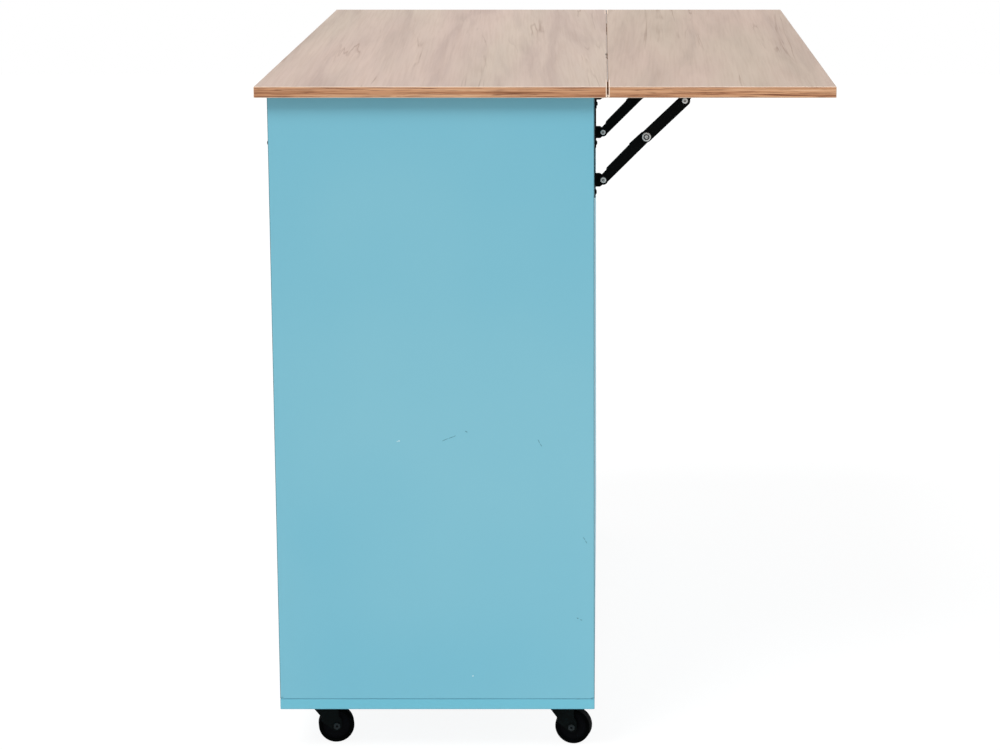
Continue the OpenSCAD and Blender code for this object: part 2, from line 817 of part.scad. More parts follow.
// Stretch of a hinge leaf between two places along the length, on the fixed side or on the leaf's side
module hinge_leaf(from, to, on_leaf) {
    way = on_leaf ? 1 : -1;
    across(from, to) {
        translate([hinge_y, -hinge_drop]) circle(r = knuckle_r);
        polygon([[hinge_y + way * 1.4, -0.1 - plate_t], [hinge_y + way * knuckle_r, -hinge_drop],
            [hinge_y, -hinge_drop]]);
        polygon([[hinge_y + way * 1.4, -0.1 - plate_t], [hinge_y + way * 1.2, -0.1], [hinge_y + way * 5, -0.1],
            [hinge_y + way * 5, -0.1 - plate_t], [hinge_y + way * knuckle_r, -hinge_drop]]);
    }
}

module leaf_hinge_half(on_leaf) {
    half = leaf_hinge_l / 2;
    mid = leaf_hinge_l / 6;
    way = on_leaf ? 1 : -1;
    difference() {
        union() {
            across(-half, half) polygon([[hinge_y + way * 4, 0], [hinge_y + way * 4, -plate_t],
                [hinge_y + way * leaf_hinge_w, -plate_t], [hinge_y + way * leaf_hinge_w, 0]]);
            if (on_leaf) hinge_leaf(-mid + knuckle_gap, mid - knuckle_gap, true);
            else for (s = [-half, mid]) hinge_leaf(s, s + half - mid, false);
        }
        across(-half - 1, half + 1) translate([hinge_y, -hinge_drop]) circle(r = hinge_pin_r + run_clear);
    }
    for (x = [-1, 1] * (half - 12)) translate([hinge_y + way * (leaf_hinge_w - 5), -plate_t, x])
        rotate([90, 0, 0]) cylinder(r1 = 3.2, r2 = 2, h = 0.9);
}

module leaf_hinges_fixed() { color(black_steel) at_leaf_hinges() leaf_hinge_half(false); }
module leaf_hinges_moving() { color(black_steel) at_leaf_hinges() leaf_hinge_half(true); }

// Outline of the lower arm from its plain eye at x = 0 to the elbow at x = l, with its back at y > 0
module lower_arm_outline(l) {
    circle(r = arm_eye);
    polygon([
        [0, -arm_open_eye], [l, -arm_open], [l, arm_back - 0.3], [l - arm_lug_l, arm_back + arm_lug],
        [l - arm_lug_l - arm_lug, arm_back], [arm_start, arm_back], [arm_start - 3, arm_eye], [0, arm_eye]]);
    translate([l, 0]) circle(r = elbow_r);
}

// Outline of the upper arm, full width at both ends
module upper_arm_outline(l) {
    circle(r = elbow_r);
    polygon([[0, -arm_open], [l, -arm_open], [l, arm_back - 0.3], [2, arm_back - 0.3], [-2, elbow_r - 0.3]]);
    translate([l, 0]) circle(r = elbow_r);
}

// Hollow of a channel arm: open on the side away from its back, and all round near its eye
module arm_hollow(l) {
    polygon([[-elbow_r - 1, -arm_open - 2], [l + elbow_r - arm_wall, -arm_open - 2],
        [l + elbow_r - arm_wall, arm_back - 0.3 - arm_wall], [arm_start, arm_back - 0.3 - arm_wall],
        [arm_start - 3, arm_back + 2], [-elbow_r - 1, arm_back + 2]]);
}

// Hollow rivet head of radius r and height h, on a face at z = 0
module rivet_head(r, h) {
    rotate_extrude() polygon([[0, 0], [r, 0], [r, h * 0.35], [r * 0.8, h], [r * rivet_hole_share, h],
        [r * rivet_hole_share, h - rivet_hole_depth], [0, h - rivet_hole_depth]]);
}

// Arm of length l over its outline, with its rivets; the elbow's rivet is split between the two arms
// that meet there. near_eye is the height of the eye rivet's head on the arm's inner face
module channel_arm(l, elbow_head, near_eye) {
    color(black_steel) difference() {
        across(0, arm_w) children();
        across(arm_wall, arm_w - arm_wall) arm_hollow(l);
    }
    color(zinc) {
        across(0, arm_w) circle(r = pivot_r);
        translate([0, 0, arm_w]) rivet_head(pivot_head_r, pivot_head_h);
        if (near_eye > 0) mirror([0, 0, 1]) rivet_head(pivot_head_r, near_eye);
        across(0, arm_w) translate([l, 0]) circle(r = 3);
        translate([l, 0, arm_w]) rivet_head(elbow_head, elbow_head_h);
    }
}

module lower_arm(x) {
    at_bracket(x) translate(wall_pivot) rotate(lower_arm_angle) mirror([0, 0, 1])
        translate([0, 0, arm_gap]) channel_arm(lower_arm_l, 5, pivot_head_h) lower_arm_outline(lower_arm_l);
}

module upper_arm(x) {
    at_bracket(x) translate(leaf_pivot) rotate(upper_arm_angle) mirror([1, 0, 0])
        translate([0, 0, arm_gap]) channel_arm(upper_arm_l, elbow_head_r, 0) upper_arm_outline(upper_arm_l);
}

module left_lower_arm() { lower_arm(-bracket_x); }
module centre_lower_arm() { lower_arm(0); }
module right_lower_arm() { lower_arm(bracket_x); }
module left_upper_arm() { upper_arm(-bracket_x); }
module centre_upper_arm() { upper_arm(0); }
module right_upper_arm() { upper_arm(bracket_x); }

// Casters

function caster_x(i) = (i < 2 ? 1 : -1) * (body_l / 2 - caster_inset);
function caster_y(i) = i % 2 == 0 ? y_front + caster_inset : y_back - caster_inset;

module caster_plates() {
    color(black_steel) for (i = [0:3]) translate([caster_x(i), caster_y(i), 0]) difference() {
        union() {
            translate([0, 0, z_plate]) linear_extrude(caster_plate_t) {
                translate([-caster_plate / 2 + 4, -caster_plate / 2]) square([caster_plate - 8, caster_plate]);
                translate([-caster_plate / 2, -caster_plate / 2 + 4]) square([caster_plate, caster_plate - 8]);
                for (sx = [-1, 1]) for (sy = [-1, 1])
                    translate([sx, sy] * (caster_plate / 2 - 4)) circle(r = 4);
            }
            rotate_extrude() polygon([[0, z_crown + seat_clear], [race_r - 3, z_crown + seat_clear],
                [race_r, z_crown + 3], [race_r + 2, z_plate], [0, z_plate]]);
            translate([0, 0, z_crown_low - 1.8]) cylinder(r = kingpin_r, h = 8);
            translate([0, 0, z_crown_low - 1.8]) cylinder(r1 = kingpin_head_r - 1, r2 = kingpin_head_r, h = 1.5);
        }
        for (sx = [-1, 1]) for (sy = [-1, 1])
            translate([sx * caster_hole, sy * caster_hole, z_plate - 1])
                cylinder(r = 2 + hole_clear, h = caster_plate_t + 2);
    }
}

module at_caster(i) {
    translate([caster_x(i), caster_y(i), 0]) rotate([0, 0, -caster_turn[i]]) children();
}

// Side view of a fork's cheek: 2D x is y, 2D y is z
module cheek_outline() {
    axle_z = wheel_d / 2;
    polygon([[-11, z_crown], [-11, z_crown - 1.6], [trail - 21.5, axle_z + 13.8],
        [trail - 21.5, axle_z + 7.4], [trail - 4.5, axle_z - 5.4], [trail, axle_z],
        [trail + hub_r, axle_z], [trail + hub_r - 0.4, axle_z + 9.3], [trail + 3, axle_z + 13.8],
        [trail + cheek_back, z_crown]]);
    translate([trail, axle_z]) circle(r = hub_r);
}

module fork(i) {
    axle_z = wheel_d / 2;
    color(black_steel) at_caster(i) {
        difference() {
            union() {
                translate([0, 0, z_crown_low]) linear_extrude(z_crown - z_crown_low) {
                    circle(r = crown_r);
                    translate([-fork_side - fork_t, -8]) square([2 * (fork_side + fork_t), trail + cheek_back + 8]);
                }
                for (s = [-1, 1]) translate([s > 0 ? fork_side : -fork_side - fork_t, 0, 0])
                    rotate([90, 0, 90]) linear_extrude(fork_t) cheek_outline();
                translate([-fork_side - fork_t - axle_nut_h, trail, axle_z]) rotate([0, 90, 0]) {
                    cylinder(r = axle_r, h = 2 * (fork_side + fork_t + axle_nut_h));
                    cylinder(r = axle_nut_r, h = axle_nut_h);
                    translate([0, 0, 2 * (fork_side + fork_t) + axle_nut_h])
                        cylinder(r = axle_nut_r, h = axle_nut_h, $fn = 6);
                }
            }
            translate([0, 0, z_crown_low - 1]) cylinder(r = kingpin_r + run_clear, h = 10);
            for (s = [-1, 1]) translate([s * (fork_side + fork_t + axle_nut_h), trail, axle_z])
                rotate([0, s * 90, 0]) translate([0, 0, -axle_dimple]) cylinder(r1 = 1.4, r2 = 2, h = 2 * axle_dimple);
        }
    }
}

// Wheel with a rounded tread and dished sides
module wheel(i) {
    r = wheel_d / 2;
    h = wheel_w / 2;
    hub = fork_side - hub_clear;
    color(black_steel) at_caster(i) translate([0, trail, r]) rotate([0, 90, 0]) rotate_extrude($fn = 64) {
        polygon([
            [axle_r + run_clear, -hub], [hub_r, -hub], [hub_r, -h + 3], [r - 6, -h + 3], [r - 5, -h],
            [r - tread_r, -h], [r - tread_r, h], [r - 5, h], [r - 6, h - 3], [hub_r, h - 3],
            [hub_r, hub], [axle_r + run_clear, hub]]);
        translate([r - tread_r - 1, -h + tread_r]) square([tread_r + 1, wheel_w - 2 * tread_r]);
        for (s = [-1, 1]) translate([r - tread_r, s * (h - tread_r)]) circle(r = tread_r);
    }
}

module right_front_fork() { fork(0); }
module right_front_wheel() { wheel(0); }
module right_back_fork() { fork(1); }
module right_back_wheel() { wheel(1); }
module left_front_fork() { fork(2); }
module left_front_wheel() { wheel(2); }
module left_back_fork() { fork(3); }
module left_back_wheel() { wheel(3); }

main_top();
left_end_panel();
right_end_panel();
centre_partition();
back_panel();
base_board();
top_rails();
divider_rails();
left_shelf();
right_shelf();
shelf_pins();
cam_fittings();
assembly_screws();
door_hinge_arms();
drawer_tracks();
bracket_wall_plates();
leaf_hinges_fixed();
leaf_hinge_pins();
caster_plates();
drop_leaf();
bracket_leaf_plates();
leaf_hinges_moving();
left_lower_arm();
centre_lower_arm();
right_lower_arm();
left_upper_arm();
centre_upper_arm();
right_upper_arm();
left_drawer_front();
left_drawer_sides();
left_drawer_back();
left_drawer_bottom();
left_drawer_handle();
left_drawer_runners();
right_drawer_front();
right_drawer_sides();
right_drawer_back();
right_drawer_bottom();
right_drawer_handle();
right_drawer_runners();
left_outer_door();
left_outer_door_handle();
left_outer_door_cups();
left_inner_door();
left_inner_door_handle();
left_inner_door_cups();
right_inner_door();
right_inner_door_handle();
right_inner_door_cups();
right_outer_door();
right_outer_door_handle();
right_outer_door_cups();
right_front_fork();
right_front_wheel();
right_back_fork();
right_back_wheel();
left_front_fork();
left_front_wheel();
left_back_fork();
left_back_wheel();
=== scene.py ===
"""Looks of the rolling kitchen sideboard: light-blue boards, wood-look laminate, black hardware."""
import math

import bmesh
import bpy
from mathutils import Matrix, Vector
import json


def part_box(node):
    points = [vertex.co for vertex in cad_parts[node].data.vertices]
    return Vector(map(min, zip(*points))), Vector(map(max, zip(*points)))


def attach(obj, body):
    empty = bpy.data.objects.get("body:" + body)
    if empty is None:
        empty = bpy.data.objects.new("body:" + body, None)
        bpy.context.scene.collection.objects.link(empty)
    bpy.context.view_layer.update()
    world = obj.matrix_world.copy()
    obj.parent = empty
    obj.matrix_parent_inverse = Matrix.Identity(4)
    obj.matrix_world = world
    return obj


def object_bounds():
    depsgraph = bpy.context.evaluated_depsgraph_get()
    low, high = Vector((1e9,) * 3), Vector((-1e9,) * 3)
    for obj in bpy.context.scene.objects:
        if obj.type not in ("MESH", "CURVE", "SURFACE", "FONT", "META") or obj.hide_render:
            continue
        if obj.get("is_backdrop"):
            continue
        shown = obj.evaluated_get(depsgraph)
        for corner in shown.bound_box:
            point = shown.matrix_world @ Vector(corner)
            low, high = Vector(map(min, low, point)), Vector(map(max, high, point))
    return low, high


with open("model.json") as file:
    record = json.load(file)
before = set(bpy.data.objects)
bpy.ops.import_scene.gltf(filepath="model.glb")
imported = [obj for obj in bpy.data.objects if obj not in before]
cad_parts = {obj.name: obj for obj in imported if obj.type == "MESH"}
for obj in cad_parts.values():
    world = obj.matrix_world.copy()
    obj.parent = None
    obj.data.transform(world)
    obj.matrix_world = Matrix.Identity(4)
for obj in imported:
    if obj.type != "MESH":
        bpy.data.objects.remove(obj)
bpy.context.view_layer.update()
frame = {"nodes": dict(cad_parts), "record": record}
nodes = frame["nodes"]


# Camera, fitted to the photograph: it looks along -X at the right-hand end, and a little down

LOOK_DOWN = 12.113  # degrees

scene = bpy.context.scene
scene.view_settings.view_transform = "Standard"
cam_data = bpy.data.cameras.new("camera")
cam_data.sensor_width = 36
cam_data.lens = 112.0
cam_data.shift_x = -0.10145
cam_data.shift_y = 0.05681
cam_data.clip_start, cam_data.clip_end = 0.05, 50
cam = bpy.data.objects.new("camera", cam_data)
cam.location = (4.7996, 0.08145, 1.3479)
cam.rotation_euler = (math.radians(90 - LOOK_DOWN), 0, math.radians(90))
scene.collection.objects.link(cam)
bpy.context.scene.camera = cam


# Places on the CAD part, in metres

joints = {joint["name"]: joint for joint in frame["record"]["behaviour"]["joints"]}
top_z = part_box("main_top")[1][2]
under_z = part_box("main_top")[0][2]
base_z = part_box("base_board")[0][2]
back_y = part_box("right_end_panel")[1][1]
front_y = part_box("right_end_panel")[0][1]
inner_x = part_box("right_end_panel")[0][0]
end_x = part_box("right_end_panel")[1][0]
seam_y = joints["leaf_hinge"]["pos_m"][1]

BRACKET_X = {"left": -0.565, "centre": 0.0, "right": 0.565}
UPRIGHT_X = (-0.6405, 0, 0.6405)  # middles of the end panels and of the partition
CASTERS = ("right_front", "right_back", "left_front", "left_back")

# Directions, and the signs of both sides of a middle
DOWN, BACK, RIGHT = (0, 0, -1), (0, 1, 0), (1, 0, 0)
BOTH = (-1, 1)


# Small helpers for materials

RELIEF = 0.0003  # height of a surface's fine relief, in metres
MULTIPLY = {"data_type": "RGBA", "blend_type": "MULTIPLY"}  # settings of a mix that darkens


def linear(code):
    """Linear colour of a hex sRGB code."""
    parts = [int(code[i:i + 2], 16) / 255 for i in (1, 3, 5)]
    return [c / 12.92 if c <= 0.04045 else ((c + 0.055) / 1.055) ** 2.4 for c in parts] + [1]


def emptied(owner):
    """Material or world with an empty node tree."""
    owner.use_nodes = True
    owner.node_tree.nodes.clear()
    return owner


def add(owner, kind, inputs=None, stops=(), **settings):
    """New node with its settings. Its inputs are given as values, hex colours, sockets, or nodes that
    stand for their first output in use. stops are the places and hex colours of a colour ramp."""
    node = owner.node_tree.nodes.new(kind)
    for key, value in settings.items():
        setattr(node, key, value)
    if stops:
        points = node.color_ramp.elements
        while len(points) < len(stops):
            points.new(0.5)
        for point, (place, code) in zip(points, stops):
            point.position, point.color = place, linear(code)
    for key, value in (inputs or {}).items():
        if isinstance(value, bpy.types.Node):
            value = next(socket for socket in value.outputs if socket.enabled)
        if isinstance(value, bpy.types.NodeSocket):
            owner.node_tree.links.new(value, node.inputs[key])
        else:
            node.inputs[key].default_value = linear(value) if isinstance(value, str) else value
    return node


def grain(mat, size_mm, detail, rough=0.5, distort=0.0, turn=0.0, start=(0, 0, 0)):
    """Random pattern whose specks have a real size along X, Y and Z, turned about Z by turn degrees."""
    place = add(mat, "ShaderNodeTexCoord").outputs["Object"]
    sized = add(mat, "ShaderNodeMapping", {
        "Vector": place, "Location": start, "Rotation": (0, 0, math.radians(turn)),
        "Scale": [size / 1000 for size in size_mm],
    }, vector_type="TEXTURE")
    return add(mat, "ShaderNodeTexNoise", {
        "Vector": sized, "Scale": 1, "Detail": detail, "Roughness": rough, "Distortion": distort,
    })


def past(mat, axis, place, both_sides=False):
    """How far a point lies past a place along an axis, or to either side of it, in centimetres."""
    coords = add(mat, "ShaderNodeTexCoord").outputs["Object"]
    spot = add(mat, "ShaderNodeSeparateXYZ", {0: coords}).outputs[axis]
    away = add(mat, "ShaderNodeMath", {0: spot, 1: place}, operation="SUBTRACT")
    if both_sides:
        away = add(mat, "ShaderNodeMath", {0: away}, operation="ABSOLUTE")
    return add(mat, "ShaderNodeMath", {0: away, 1: 100.0}, operation="MULTIPLY")


# Materials. A colour mix takes its factor as input 0 and its two colours as inputs 6 and 7.

def mottled(name, code, pale, rough, size_mm, metal=0.0, spec=0.5, sand=0.0, sand_mm=1.0):
    """Material whose colour drifts between two near tones, with a fine sandy relief. The real relief has
    specks of about 0.2 mm. They are too fine to show, so they are drawn about 1 mm coarse."""
    mat = emptied(bpy.data.materials.new(name))
    drift = grain(mat, [size_mm] * 3, 3)
    inputs = {
        "Base Color": add(mat, "ShaderNodeValToRGB", {0: drift}, [(0.32, code), (0.68, pale)]),
        "Roughness": rough, "Metallic": metal, "Specular IOR Level": spec,
    }
    if sand:
        relief = grain(mat, [sand_mm] * 3, 2)
        inputs["Normal"] = add(mat, "ShaderNodeBump", {
            "Height": relief, "Strength": sand, "Distance": RELIEF,
        })
    shader = add(mat, "ShaderNodeBsdfPrincipled", inputs)
    add(mat, "ShaderNodeOutputMaterial", {"Surface": shader})
    return mat


def seam_ends(mat, colour):
    """Colour with the ends of the seam's banding over it, in painted light and shade: a pale painted
    highlight within 2.2 mm of the seam, and a brown painted shadow within 1.2 mm, but not at their foot. Both
    start 565 mm from the middle of the length, are full 10 mm on, and run round the end faces."""
    gap = past(mat, 1, seam_y, both_sides=True)
    # a pale painted highlight beside the seam, and a brown painted shadow nearer to it
    trim = add(mat, "ShaderNodeValToRGB", {0: gap}, [(0.22, "#FFFFFF"), (0.27, "#000000")])
    shade_mask = add(mat, "ShaderNodeValToRGB", {0: gap}, [(0.12, "#FFFFFF"), (0.16, "#000000")])
    foot = add(mat, "ShaderNodeValToRGB", {0: past(mat, 2, under_z)}, [(0.36, "#000000"), (0.46, "#FFFFFF")])
    shade_mask = add(mat, "ShaderNodeMix", {0: 1.0, 6: shade_mask, 7: foot}, **MULTIPLY)
    inner = add(mat, "ShaderNodeMath", {0: past(mat, 0, 0, both_sides=True), 1: 56.5}, operation="SUBTRACT")
    near = add(mat, "ShaderNodeValToRGB", {0: inner}, [(0.0, "#000000"), (1.0, "#FFFFFF")])
    for mask, code in ((trim, "#FCE6D2"), (shade_mask, "#4A2A0A")):
        here = add(mat, "ShaderNodeMix", {0: 1.0, 6: mask, 7: near}, **MULTIPLY)
        colour = add(mat, "ShaderNodeMix", {0: here, 6: colour, 7: code}, data_type="RGBA")
    return colour


def laminate_face(name, turn, start, tones, dark_spots=()):
    """Printed wood-look laminate, matt pressed: broad soft bands 45 mm wide along the board, patches that
    drift from pink to grey, thin dark veins that wander along it, and fibres. Real fibres are under 1 mm
    wide, too fine to show, so they are drawn 3.4 mm wide. Each dark spot given is the middle and the half
    sizes, in metres, of an oval place painted dark brown."""
    mat = emptied(bpy.data.materials.new(name))
    bands = grain(mat, (900, 46, 46), 4, 0.55, 0.5, turn, start)
    patch = grain(mat, (1300, 120, 120), 2, 0.5, 0.3, turn, start)
    wander = grain(mat, (1500, 42, 42), 4, 0.5, 0.45, turn, start)
    where = grain(mat, (420, 70, 70), 2, 0.5, 0.0, turn, start)
    fibre = grain(mat, (180, 3.4, 3.4), 2, 0.5, 0.2, turn, start)
    tone = add(mat, "ShaderNodeValToRGB", {0: bands}, [(0.36, tones[0]), (0.5, tones[1]), (0.66, tones[2])])
    hue = add(mat, "ShaderNodeValToRGB", {0: patch}, [(0.38, "#FFFAF9"), (0.62, "#FAFBF6")])
    # folding the wandering pattern back and forth gives lines
    lines = add(mat, "ShaderNodeMath", {0: wander, 1: 7.0}, operation="MULTIPLY")
    fold = add(mat, "ShaderNodeMath", {0: lines, 1: 1.0}, operation="PINGPONG")
    vein = add(mat, "ShaderNodeValToRGB", {0: fold}, [(0.0, "#D2C7C1"), (0.06, "#ECE6E2"), (0.13, "#FFFFFF")])
    shown = add(mat, "ShaderNodeValToRGB", {0: where}, [(0.48, "#000000"), (0.64, "#FFFFFF")])
    thread = add(mat, "ShaderNodeValToRGB", {0: fibre}, [(0.34, "#F8F5F3"), (0.56, "#FFFFFF")])
    colour = tone
    for factor, layer in ((1.0, hue), (shown, vein), (1.0, thread)):
        colour = add(mat, "ShaderNodeMix", {0: factor, 6: colour, 7: layer}, **MULTIPLY)
    place = add(mat, "ShaderNodeTexCoord").outputs["Object"]
    for middle, half in dark_spots:
        oval = add(mat, "ShaderNodeMapping", {"Vector": place, "Location": middle, "Scale": half},
                   vector_type="TEXTURE")
        out = add(mat, "ShaderNodeVectorMath", {0: oval}, operation="LENGTH")
        inside = add(mat, "ShaderNodeValToRGB", {0: out}, [(0.8, "#FFFFFF"), (1.0, "#000000")])
        colour = add(mat, "ShaderNodeMix", {0: inside, 6: colour, 7: "#2B1C12"}, data_type="RGBA")
    relief = add(mat, "ShaderNodeBump", {"Height": fibre, "Strength": 0.05, "Distance": RELIEF})
    shader = add(mat, "ShaderNodeBsdfPrincipled", {
        "Base Color": seam_ends(mat, colour), "Roughness": 0.55, "Specular IOR Level": 0.3, "Normal": relief,
    })
    add(mat, "ShaderNodeOutputMaterial", {"Surface": shader})
    return mat


def edge_band(name, start, tones):
    """Edge band, extruded plastic with a printed wood grain: warm orange-brown, with dark lines about 2 mm
    thick that run along the edge. At the seam its ends have a brown painted shadow and a pale painted
    highlight."""
    mat = emptied(bpy.data.materials.new(name))
    streak = grain(mat, (190, 190, 1.9), 4, 0.65, 0.3, 0, start)
    hair = grain(mat, (45, 45, 1.2), 3, 0.6, 0.5, 0, start)
    tone = add(mat, "ShaderNodeValToRGB", {0: streak}, list(zip((0.34, 0.44, 0.55, 0.68), tones)))
    dark = add(mat, "ShaderNodeValToRGB", {0: hair}, [(0.34, "#7E5B47"), (0.48, "#FFFFFF")])
    colour = add(mat, "ShaderNodeMix", {0: 0.8, 6: tone, 7: dark}, **MULTIPLY)
    shader = add(mat, "ShaderNodeBsdfPrincipled", {
        "Base Color": seam_ends(mat, colour), "Roughness": 0.5, "Specular IOR Level": 0.3,
    })
    add(mat, "ShaderNodeOutputMaterial", {"Surface": shader})
    return mat


def seam_dust_and_shade(name):
    """Edge inside the seam, where dust gathers and shade is painted: dull brown with single dark spots. It is
    painted darker, as shade, from 560 mm from the middle of the length on, down to a pale line of painted
    light at its foot."""
    mat = emptied(bpy.data.materials.new(name))
    speck = grain(mat, (16, 400, 400), 1)
    spots = add(mat, "ShaderNodeValToRGB", {0: speck}, [(0.27, "#4A3D36"), (0.33, "#A9917F")])
    inner = add(mat, "ShaderNodeMath", {0: past(mat, 0, 0, both_sides=True), 1: 56.0}, operation="SUBTRACT")
    # painted shade from 560 mm from the middle of the length on
    end = add(mat, "ShaderNodeValToRGB", {0: inner}, [(0.0, "#FFFFFF"), (1.0, "#B98A5C")])
    # painted light along the foot
    foot = add(mat, "ShaderNodeValToRGB", {0: past(mat, 2, under_z)}, [(0.34, "#FFFFFF"), (0.44, "#000000")])
    dust_and_shade = add(mat, "ShaderNodeMix", {0: 1.0, 6: spots, 7: end}, **MULTIPLY)
    colour = add(mat, "ShaderNodeMix", {0: foot, 6: dust_and_shade, 7: "#E2C7AF"}, data_type="RGBA")
    shader = add(mat, "ShaderNodeBsdfPrincipled", {
        "Base Color": colour, "Roughness": 0.8, "Specular IOR Level": 0.1,
    })
    add(mat, "ShaderNodeOutputMaterial", {"Surface": shader})
    return mat


def sprayed_board(name, code, pale):
    """Satin lacquer, sprayed on fibreboard: an even light blue that drifts a little over half a metre,
    with the faint orange peel of spraying."""
    mat = emptied(bpy.data.materials.new(name))
    drift = grain(mat, [420] * 3, 2, start=(0.13, 0.37, 0.29))
    peel = grain(mat, [1.6] * 3, 2)
    shader = add(mat, "ShaderNodeBsdfPrincipled", {
        "Base Color": add(mat, "ShaderNodeValToRGB", {0: drift}, [(0.32, code), (0.68, pale)]),
        "Roughness": 0.45, "Specular IOR Level": 0.35,
        "Normal": add(mat, "ShaderNodeBump", {"Height": peel, "Strength": 0.04, "Distance": RELIEF}),
    })
    add(mat, "ShaderNodeOutputMaterial", {"Surface": shader})
    return mat


top_face = laminate_face("pressed laminate of the worktop", 1.6, (0.13, 0.37, 0),
                         ("#B19D92", "#BDAA9E", "#C5B2A5"),
                         [((0.193, seam_y - 0.0014, top_z), (0.022, 0.0013, 0.01)),
                          ((0.239, seam_y - 0.0012, top_z), (0.014, 0.0010, 0.01))])
leaf_face = laminate_face("pressed laminate of the leaf", -1.2, (0.4, 0.2, 0),
                          ("#AB978A", "#B7A395", "#BEAA9C"))
top_band = edge_band("wood-print edge band of the worktop", (0, 0, 0),
                     ("#7F4F33", "#B67F5A", "#C99671", "#DBAF8A"))
leaf_band = edge_band("wood-print edge band of the leaf", (0.7, 0.3, 0.011),
                      ("#885739", "#BF8964", "#D1A07A", "#E3B894"))
# edge where laminate and band meet, at the near end, with a painted highlight: paler than both
arris = mottled("arris of the laminate with a painted highlight", "#DFC6B2", "#EBD5C3", 0.5, 60, spec=0.3)
# the same edge along the sides and the seam, in painted shade: a dull grey line
shaded_arris = mottled("arris of the laminate in painted shade", "#97867A", "#A69486", 0.8, 60, spec=0.05)
# the edge inside the seam: dust, painted shade towards the near end, and painted light at its foot
seam_edge = seam_dust_and_shade("dusty edge of the seam")
blue = sprayed_board("sprayed light-blue lacquer", "#74B9CD", "#7FBECF")
base_blue = sprayed_board("sprayed light-blue lacquer of the base", "#6EBBCF", "#74BFD2")
# the boards' edges are painted darker, as shade in the seams between boards
shaded_blue_edge = mottled("painted shade on the boards' edges", "#66A6BA", "#6FAFC2", 0.6, 80, spec=0.1)
# the end panels' upright edges are painted as a dull dark line of shade
shaded_upright_edge = mottled("painted shade on the end panels' upright edges", "#45717D", "#4D7A86", 0.8, 80, spec=0.05)
# drawer boards are wrapped in plain foil: an even off-white with a soft sheen
white_board = mottled("white foil on drawer board", "#E4E3DF", "#EAE9E5", 0.5, 90)
# runners are rolled steel under an epoxy coat: smooth, cool white
white_steel = mottled("white epoxy coat on rolled steel", "#DEDEDA", "#E6E6E2", 0.35, 50, sand=0.05)
# powder coat: matt black with a fine sandy relief
black_steel = mottled("black powder coat on pressed steel", "#050606", "#080A09", 0.6, 12,
                      spec=0.05, sand=0.25)
# forks are dipped enamel: black with a green cast, smoother than the powder coat
fork_black = mottled("black enamel on the caster forks", "#0A0E0E", "#0E1313", 0.6, 14, spec=0.03, sand=0.1)
# tyre rubber: the deepest black, without shine
tyre = mottled("black rubber tyre", "#020303", "#050606", 0.8, 8, spec=0.02, sand=0.2, sand_mm=0.8)
# moulded nylon: a little smoother than the tyre round it
hub = mottled("black moulded nylon hub", "#050608", "#08090C", 0.6, 10, spec=0.03, sand=0.06)
# bars are coated steel tube: satin black with a soft highlight
black_bar = mottled("black satin coat on the handle bars", "#090909", "#0E0E0F", 0.4, 20, spec=0.2, sand=0.05)
# zinc plate: bright grey metal, a little cloudy
zinc = mottled("bright zinc plate on steel", "#AEB2B5", "#BEC2C4", 0.35, 6, metal=0.85, sand=0.08)
# rivets are left bare: nickel-grey rings round a dark hollow
rivet = mottled("bare steel rivet", "#CFD0CE", "#F0F0ED", 0.45, 2.5, spec=0.3, sand=0.1)
hollow = mottled("shaded hollow of a rivet or an axle", "#08090A", "#121314", 0.8, 2, spec=0.05)
# axle ends are blackened, and rubbed to a dark grey ring
bolt_head = mottled("blackened steel of the axle ends", "#24292B", "#2E3436", 0.6, 3, spec=0.1, sand=0.1)
# a recess lies in its own shade
recess = mottled("shade in a screw's cross recess", "#0C0C0D", "#121213", 0.8, 2, spec=0.05)
# handling has left thin darker scuffs and a few pale specks
scuff = mottled("scuff through the lacquer", "#578B9D", "#6699AA", 0.8, 3, spec=0.1)
dust = mottled("pale speck in the lacquer", "#C6DEE4", "#D3E8EC", 0.6, 3, spec=0.2)


# Materials of the CAD nodes. Lengths are in metres.

SQUARE = 0.95         # a face is square to an axis when its normal's part along it is larger than this
TURNED = 0.3          # a face is turned to an axis when its normal's part along it is larger than this
SEAM_REACH = 0.0012   # faces this near to the seam's middle belong to the seam
ROUNDING = 2e-5       # room for rounding, beside a face
SAME_PLANE = 5e-5     # faces this near to a plane lie in it
SCREW_HEAD = 0.0026   # thickness of the handle screws' heads

# Folding brackets, from the middle plane of a bracket: an arm's side faces and the rivets' heads
ARM_NEAR, ARM_FAR = 0.0002, 0.0082
WALL_HEAD, PIVOT_HEAD, ELBOW_HEAD = 0.0007, 0.0091, 0.0096

# Casters: radii of the hub, the axle's end and the hollow in it, and where the end starts along the axle
HUB_R, AXLE_R, HOLLOW_R = 0.0198, 0.0052, 0.00195
AXLE_END = 0.0122


def fill(node, *mats):
    """Give a CAD node its materials, with the first one on every face."""
    mesh = nodes[node].data
    mesh.materials.clear()
    for mat in mats:
        mesh.materials.append(mat)
    for face in mesh.polygons:
        face.material_index = 0


def slant(normal):
    """1 on a face square to an axis, less on a bevel or a curve."""
    return max(abs(c) for c in normal)


def laminate_board(node, face_mat, band):
    """Laminate on the flat faces, edge band round the sides, arrises with a painted highlight at the near end
    and painted shade elsewhere, and a seam with dust and painted shade.
    """
    fill(node, face_mat, band, arris, seam_edge, shaded_arris)
    for face in nodes[node].data.polygons:
        if abs(face.center.y - seam_y) < SEAM_REACH:
            face.material_index = 3
        elif slant(face.normal) < SQUARE:
            # near-end arrises get the painted highlight, all others the painted shade
            face.material_index = 2 if abs(face.normal.x) > TURNED and face.center.x > 0 else 4
        elif abs(face.normal.z) < SQUARE:
            face.material_index = 1


